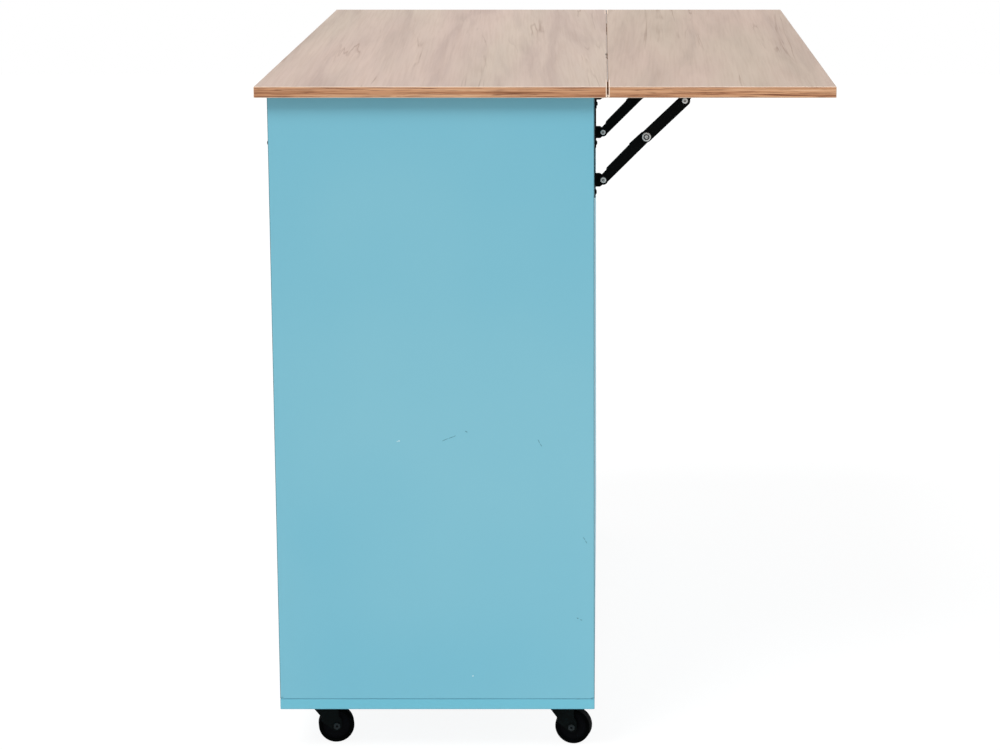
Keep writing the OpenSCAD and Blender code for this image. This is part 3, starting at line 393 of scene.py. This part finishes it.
def lacquered(node, mat):
    """Lacquer with its edges painted darker as shade, and darker still on the upright edges of the end
    panels.
    """
    fill(node, mat, shaded_blue_edge, shaded_upright_edge)
    for face in nodes[node].data.polygons:
        if slant(face.normal) < SQUARE:
            upright = node.endswith("end_panel") and abs(face.normal.z) < TURNED
            face.material_index = 2 if upright else 1


def riveted(node, low, high, heads):
    """Rivets on an arm: what stands outside its two side faces at low and high along X, with a dark
    hollow below the planes of the heads."""
    fill(node, black_steel, rivet, hollow)
    for face in nodes[node].data.polygons:
        x = face.center.x
        if not low - ROUNDING < x < high + ROUNDING:
            face.material_index = 1
            if abs(face.normal.x) > SQUARE and min(abs(x - head) for head in heads) > SAME_PLANE:
                face.material_index = 2


def from_axle(name, face):
    """How far a face of a caster lies along its axle and out from it."""
    joint = joints[name + "_roll"]
    axis = Vector(joint["axis"]).normalized()
    reach = face.center - Vector(joint["pos_m"])
    along = reach.dot(axis)
    return abs(along), (reach - along * axis).length


for name in nodes:
    if name == "main_top":
        laminate_board(name, top_face, top_band)
    elif name == "drop_leaf":
        laminate_board(name, leaf_face, leaf_band)
    elif name == "base_board":
        lacquered(name, base_blue)
    elif name.endswith(("sides", "drawer_back", "drawer_bottom")):
        fill(name, white_board)
    elif name.endswith(("runners", "tracks")):
        fill(name, white_steel)
    elif name.endswith("handle"):
        # black bar and posts, and bright screw heads on the inside of the front
        fill(name, black_bar, zinc)
        inside_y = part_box(name)[1][1] - SCREW_HEAD
        for face in nodes[name].data.polygons:
            face.material_index = int(face.center.y > inside_y)
    elif name.endswith(("plates", "_fixed", "_moving")):
        fill(name, black_steel)
    elif name == "assembly_screws":
        # the screws out of the back, in the wall plates, are black, and the others bright
        fill(name, zinc, black_steel)
        for face in nodes[name].data.polygons:
            face.material_index = int(face.center.y > back_y - ROUNDING)
    elif name.endswith(("cups", "arms", "pins", "fittings")):
        fill(name, zinc)
    elif not name.endswith(("_arm", "fork", "wheel")):
        lacquered(name, blue)

for side, x in BRACKET_X.items():
    riveted(side + "_lower_arm", x - ARM_FAR, x - ARM_NEAR, (x - ELBOW_HEAD, x - PIVOT_HEAD, x + WALL_HEAD))
    riveted(side + "_upper_arm", x + ARM_NEAR, x + ARM_FAR, (x + ELBOW_HEAD, x + PIVOT_HEAD))

for name in CASTERS:
    fill(name + "_fork", fork_black, bolt_head, hollow)
    for face in nodes[name + "_fork"].data.polygons:
        along, out = from_axle(name, face)
        if along > AXLE_END and out < AXLE_R:
            face.material_index = 2 if out < HOLLOW_R else 1
    fill(name + "_wheel", tyre, hub)
    for face in nodes[name + "_wheel"].data.polygons:
        along, out = from_axle(name, face)
        face.material_index = int(out < HUB_R)


# Small pieces: each is turned or cut once as a pattern, then stamped where it belongs

MERGE = 1e-6          # vertices this near to each other are one
CROSS_DEEP = 0.00012  # thickness of a cross recess
CROSS_ARM = 0.62      # width of its arms, as a share of a third of the cross


def settled(bm):
    """Mesh with doubled vertices merged and faces pointing out."""
    bmesh.ops.remove_doubles(bm, verts=bm.verts, dist=MERGE)
    bmesh.ops.recalc_face_normals(bm, faces=bm.faces)
    mesh = bpy.data.meshes.new("pattern")
    bm.to_mesh(mesh)
    bm.free()
    return mesh


def turned(profile_mm, steps=24):
    """Solid turned about Z from a closed profile of (radius, height) points."""
    bm = bmesh.new()
    verts = [bm.verts.new((r / 1000, 0, z / 1000)) for r, z in profile_mm]
    for a, b in zip(verts, verts[1:] + verts[:1]):
        if a.co.x > 0 or b.co.x > 0:
            bm.edges.new((a, b))
    bmesh.ops.spin(bm, geom=bm.verts[:] + bm.edges[:], cent=(0, 0, 0), axis=(0, 0, 1),
                   angle=2 * math.pi, steps=steps, use_merge=True)
    return settled(bm)


def cross(width_mm):
    """Cross recess of a screw: a grid of three by three without its corners, given a thickness."""
    bm = bmesh.new()
    bmesh.ops.create_grid(bm, x_segments=3, y_segments=3, size=width_mm / 2000)
    line = width_mm / 6000  # the grid's inner lines lie this far from its middle
    corners = []
    for face in bm.faces:
        middle = face.calc_center_median()
        if min(abs(middle.x), abs(middle.y)) > line:
            corners.append(face)
    bmesh.ops.delete(bm, geom=corners, context="FACES")
    for vert in bm.verts:
        # the inner lines move in, so that the cross gets narrow arms
        for axis in (0, 1):
            if abs(abs(vert.co[axis]) - line) < line / 4:
                vert.co[axis] *= CROSS_ARM
    raised = bmesh.ops.extrude_face_region(bm, geom=bm.faces[:])["geom"]
    bmesh.ops.translate(bm, verts=[v for v in raised if isinstance(v, bmesh.types.BMVert)],
                        vec=(0, 0, CROSS_DEEP))
    return settled(bm)


def at(place, out, size=(1, 1, 1), turn=0.0):
    """Place for a stamp, its own Z pointing out of the surface there, turned by turn degrees."""
    facing = Vector(out).to_track_quat("Z", "Y").to_matrix().to_4x4()
    return (Matrix.Translation(Vector(place)) @ facing @ Matrix.Rotation(math.radians(turn), 4, "Z")
            @ Matrix.Diagonal((*size, 1)))


def stamped(name, pattern, places, mat, body):
    """One piece made of a pattern set at each place, riding on a body."""
    bm = bmesh.new()
    for place in places:
        known = len(bm.verts)
        bm.from_mesh(pattern)
        bmesh.ops.transform(bm, matrix=place, verts=bm.verts[known:])
    mesh = bpy.data.meshes.new(name)
    bm.to_mesh(mesh)
    bm.free()
    mesh.materials.append(mat)
    piece = bpy.data.objects.new(name, mesh)
    scene.collection.objects.link(piece)
    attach(piece, body)


small_cross = cross(3.4)
large_cross = cross(8.5)
pan_head = turned([(0, 1.7), (1.2, 1.62), (2.3, 1.2), (3.0, 0.5), (3.2, 0), (0, 0)])
rivet_core = turned([(0, 0.62), (0.4, 0.55), (0.7, 0.3), (0.8, 0), (0, 0)], 16)
elbow_core = turned([(0, 0.7), (1.1, 0.66), (1.8, 0.45), (2.2, 0), (0, 0)], 20)
elbow_groove = turned([(2.75, 0), (4.1, 0), (4.1, 0.04), (2.75, 0.04)], 32)
mark = turned([(0, 0.05), (0.7, 0.04), (1, 0), (0, 0)], 14)

# Cross recesses. Lengths are in metres, and the screws are turned by hand, so each cross has a turn
# of its own.

# Wall plates: a screw below the worktop and one below the wall pivot, its head out of the back
WALL_SCREW_DROP, WALL_SCREW_OUT = 0.016, 0.0031
wall_screw_drops = (WALL_SCREW_DROP, WALL_SCREW_DROP + under_z - joints["right_wall_pivot"]["pos_m"][2])
stamped("wall_screw_recesses", small_cross,
        [at((x, back_y + WALL_SCREW_OUT, under_z - drop), BACK, turn=20 + 50 * i)
         for i, x in enumerate(BRACKET_X.values()) for drop in wall_screw_drops],
        recess, "carcass")

# Base board: three screws up into each upright board, at these places from the front
BASE_SCREW_Y = (0.050, 0.2185, 0.386)
stamped("base_screw_recesses", cross(4.6),
        [at((x, front_y + y, base_z), DOWN, turn=30 + 17 * i)
         for i, x in enumerate(UPRIGHT_X) for y in BASE_SCREW_Y],
        recess, "carcass")

# Caster plates: a screw at each corner, so far out and below the swivel's place
PLATE_SCREW, PLATE_SCREW_DROP = 0.017, 0.0045
plate_screws = []
for i, name in enumerate(CASTERS):
    x, y, z = joints[name + "_swivel"]["pos_m"]
    plate_screws += [at((x + sx * PLATE_SCREW, y + sy * PLATE_SCREW, z - PLATE_SCREW_DROP), DOWN,
                        turn=25 * i + 40 * sx) for sx in BOTH for sy in BOTH]
stamped("caster_screw_recesses", cross(2.8), plate_screws, recess, "carcass")

# Leaf hinges: two screws on the worktop's side and two on the leaf's side of each
LEAF_HINGE_X = (-0.47, 0.47)
HINGE_SCREW_X, HINGE_SCREW_Y, HINGE_SCREW_DROP = (-0.028, 0.028), 0.011, 0.0024
for side, body in ((-1, "carcass"), (1, "leaf")):
    stamped("leaf_hinge_recesses_" + body, cross(2.6),
            [at((x + dx, seam_y + side * HINGE_SCREW_Y, under_z - HINGE_SCREW_DROP), DOWN, turn=dx * 2000)
             for x in LEAF_HINGE_X for dx in HINGE_SCREW_X],
            recess, body)

# Handles: a screw behind each post, seen on the inside of the front
POST = 0.048  # from the middle of the handle
for name in nodes:
    if name.endswith("handle"):
        low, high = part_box(name)
        mid = (low + high) / 2
        along = Vector((POST, 0, 0)) if high.x - low.x > 0.1 else Vector((0, 0, POST))
        stamped(name + "_recesses", small_cross,
                [at((mid.x + s * along.x, high.y, mid.z + s * along.z), BACK, turn=35 * s) for s in BOTH],
                recess, name.rsplit("_", 1)[0])

# Door hinges: two pan-head screws in the wings of each cup, and two in the foot of each arm
CUP_INSET, CUP_SCREW = 0.032, 0.026   # a cup's middle from the end of the cups' box, and a screw from it
FOOT_DEEP, FOOT_SCREW = 0.051, 0.0135  # a foot's middle from the front, and a screw from it
CROSS_UP = 0.0016                      # a cross from the foot of its pan head
foot_heads, foot_crosses = [], []
for name in nodes:
    if name.endswith("cups"):
        low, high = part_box(name)
        x, body = (low.x + high.x) / 2, name.rsplit("_", 1)[0]
        heights = (low.z + CUP_INSET, high.z - CUP_INSET)
        spots = [(x, high.y, z + s * CUP_SCREW) for z in heights for s in BOTH]
        stamped(name + "_screws", pan_head, [at(p, BACK) for p in spots], zinc, body)
        stamped(name + "_recesses", small_cross,
                [at(Vector(p) + Vector((0, CROSS_UP, 0)), BACK, turn=p[2] * 900) for p in spots],
                recess, body)
        hinge_x = joints[body + "_hinge"]["pos_m"][0]
        way = 1 if x > hinge_x else -1
        for z in heights:
            for s in BOTH:
                spot = Vector((hinge_x, front_y + FOOT_DEEP, z + s * FOOT_SCREW))
                foot_heads.append(at(spot, (way, 0, 0)))
                foot_crosses.append(at(spot + Vector((way * CROSS_UP, 0, 0)), (way, 0, 0),
                                       turn=20 * s + z * 500))
stamped("hinge_foot_screws", pan_head, foot_heads, zinc, "carcass")
stamped("hinge_foot_recesses", small_cross, foot_crosses, recess, "carcass")

# Cams in the end panels' inner faces, below the worktop and in from the front and the back
CAM_DROP, CAM_INSET = 0.024, 0.060
stamped("cam_crosses", large_cross,
        [at((s * inner_x, y, under_z - CAM_DROP), (-s, 0, 0), turn=12)
         for s in BOTH for y in (front_y + CAM_INSET, back_y - CAM_INSET)],
        recess, "carcass")

# Rivets: a bright core on the floor of each hollow, and the groove and a dimple round the elbow's core
ELBOW = Vector((0, 0.05882, 0.06017))  # from the wall pivot, with the leaf up
HOLLOW_DEEP = 0.0006                   # a hollow's floor below its rivet's head
DIMPLE_X = 0.00968                     # from the bracket's middle plane, on the elbow's core
for side, x in BRACKET_X.items():
    wall = Vector(joints[side + "_wall_pivot"]["pos_m"])
    leaf = Vector(joints[side + "_leaf_pivot"]["pos_m"])
    elbow = wall + ELBOW
    lower, upper = side + "_lower_arm", side + "_upper_arm"
    stamped(side + "_wall_rivet_core", rivet_core,
            [at((x + WALL_HEAD - HOLLOW_DEEP, wall.y, wall.z), RIGHT)], rivet, lower)
    stamped(side + "_leaf_rivet_core", rivet_core,
            [at((x + PIVOT_HEAD - HOLLOW_DEEP, leaf.y, leaf.z), RIGHT)], rivet, upper)
    stamped(side + "_elbow_core", elbow_core,
            [at((x + ELBOW_HEAD - HOLLOW_DEEP, elbow.y, elbow.z), RIGHT)], rivet, upper)
    stamped(side + "_elbow_groove", elbow_groove,
            [at((x + ELBOW_HEAD, elbow.y, elbow.z), RIGHT)], hollow, upper)
    stamped(side + "_elbow_dimple", mark,
            [at((x + DIMPLE_X, elbow.y + 0.0006, elbow.z - 0.0004), RIGHT, (1.0, 0.55, 1), -40)],
            hollow, upper)

# Marks of handling on the end panel: (y, z, half length, half width) in millimetres and turn in degrees
dark_marks = [(-132.0, 445.8, 4.6, 0.5, 24), (-123.5, 449.0, 4.4, 0.55, 20), (-118.8, 450.9, 1.4, 0.5, 40),
              (-103, 457.0, 1.9, 0.8, -30), (-4.0, 443.4, 3.0, 0.5, -64), (-1.2, 438.4, 2.4, 0.5, -58),
              (57.6, 306.8, 2.8, 0.5, -58), (60.4, 301.9, 2.7, 0.5, -62), (48.6, 193.2, 1.5, 0.9, -25),
              (53.4, 190.8, 1.6, 0.6, -20), (49.4, 77.35, 2.4, 0.5, 0), (69.0, 78.5, 2.6, 0.5, 22),
              (-362.6, 79.3, 2.2, 0.6, 0)]
pale_marks = [(-195, 444.1, 1.2, 0.8, 0), (-96.9, 110.2, 1.0, 0.8, 20), (-197.5, 443.4, 0.7, 0.5, 30)]
for name, marks, mat in (("end_panel_scuffs", dark_marks, scuff), ("end_panel_specks", pale_marks, dust)):
    stamped(name, mark,
            [at((end_x, y / 1000, z / 1000), RIGHT, (half_l, half_w, 1), turn)
             for y, z, half_l, half_w, turn in marks],
            mat, "carcass")


# Light: a white room over a pale floor, with one soft sun from above the near end and a weaker fill

def lit_by(owner, plain_light, seen_light):
    """Shader that shows seen_light to the camera and in reflections, and plain_light to all else."""
    rays = add(owner, "ShaderNodeLightPath").outputs
    seen = rays["Is Camera Ray"]
    for kind in ("Is Glossy Ray", "Is Transmission Ray"):
        seen = add(owner, "ShaderNodeMath", {0: seen, 1: rays[kind]}, operation="MAXIMUM")
    return add(owner, "ShaderNodeMixShader", {0: seen, 1: plain_light, 2: seen_light})


# the room lights the object at half strength, and the camera sees full white behind it
world = emptied(bpy.data.worlds.new("white room"))
scene.world = world
room = add(world, "ShaderNodeBackground", {"Color": "#FFFFFF", "Strength": 0.5})
backdrop = add(world, "ShaderNodeBackground", {"Color": "#FFFFFF", "Strength": 1.0})
add(world, "ShaderNodeOutputWorld", {"Surface": lit_by(world, room, backdrop)})

# pale matt floor: white to the camera apart from a faint soft shadow, and clear from below
floor_mat = emptied(bpy.data.materials.new("pale studio floor"))
pale = add(floor_mat, "ShaderNodeBsdfDiffuse", {"Color": "#E7E7E7"})
glow = add(floor_mat, "ShaderNodeEmission", {"Strength": 0.92})
faint = add(floor_mat, "ShaderNodeBsdfDiffuse", {"Color": "#5D5D5D"})
white = add(floor_mat, "ShaderNodeAddShader", {0: glow, 1: faint})
below = add(floor_mat, "ShaderNodeNewGeometry").outputs["Backfacing"]
clear = add(floor_mat, "ShaderNodeBsdfTransparent")
both = add(floor_mat, "ShaderNodeMixShader", {0: below, 1: lit_by(floor_mat, pale, white), 2: clear})
add(floor_mat, "ShaderNodeOutputMaterial", {"Surface": both})

bm = bmesh.new()
bmesh.ops.create_grid(bm, x_segments=4, y_segments=4, size=9)
mesh = bpy.data.meshes.new("floor")
bm.to_mesh(mesh)
bm.free()
mesh.materials.append(floor_mat)
floor = bpy.data.objects.new("floor", mesh)
scene.collection.objects.link(floor)
floor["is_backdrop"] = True

# name, strength, width in degrees and the direction towards the lamp
lamps = (("soft sun", 2.05, 25, (0.52, -0.36, 0.80)), ("fill", 0.9, 40, (-0.75, 0.60, 0.28)))
for name, strength, wide, way in lamps:
    lamp_data = bpy.data.lights.new(name, "SUN")
    lamp_data.energy = strength
    lamp_data.angle = math.radians(wide)
    lamp = bpy.data.objects.new(name, lamp_data)
    lamp.rotation_euler = Vector(way).to_track_quat("Z", "Y").to_euler()
    scene.collection.objects.link(lamp)


# Bounds of the dressed part, the CAD part with its small pieces, without the floor

low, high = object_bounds()
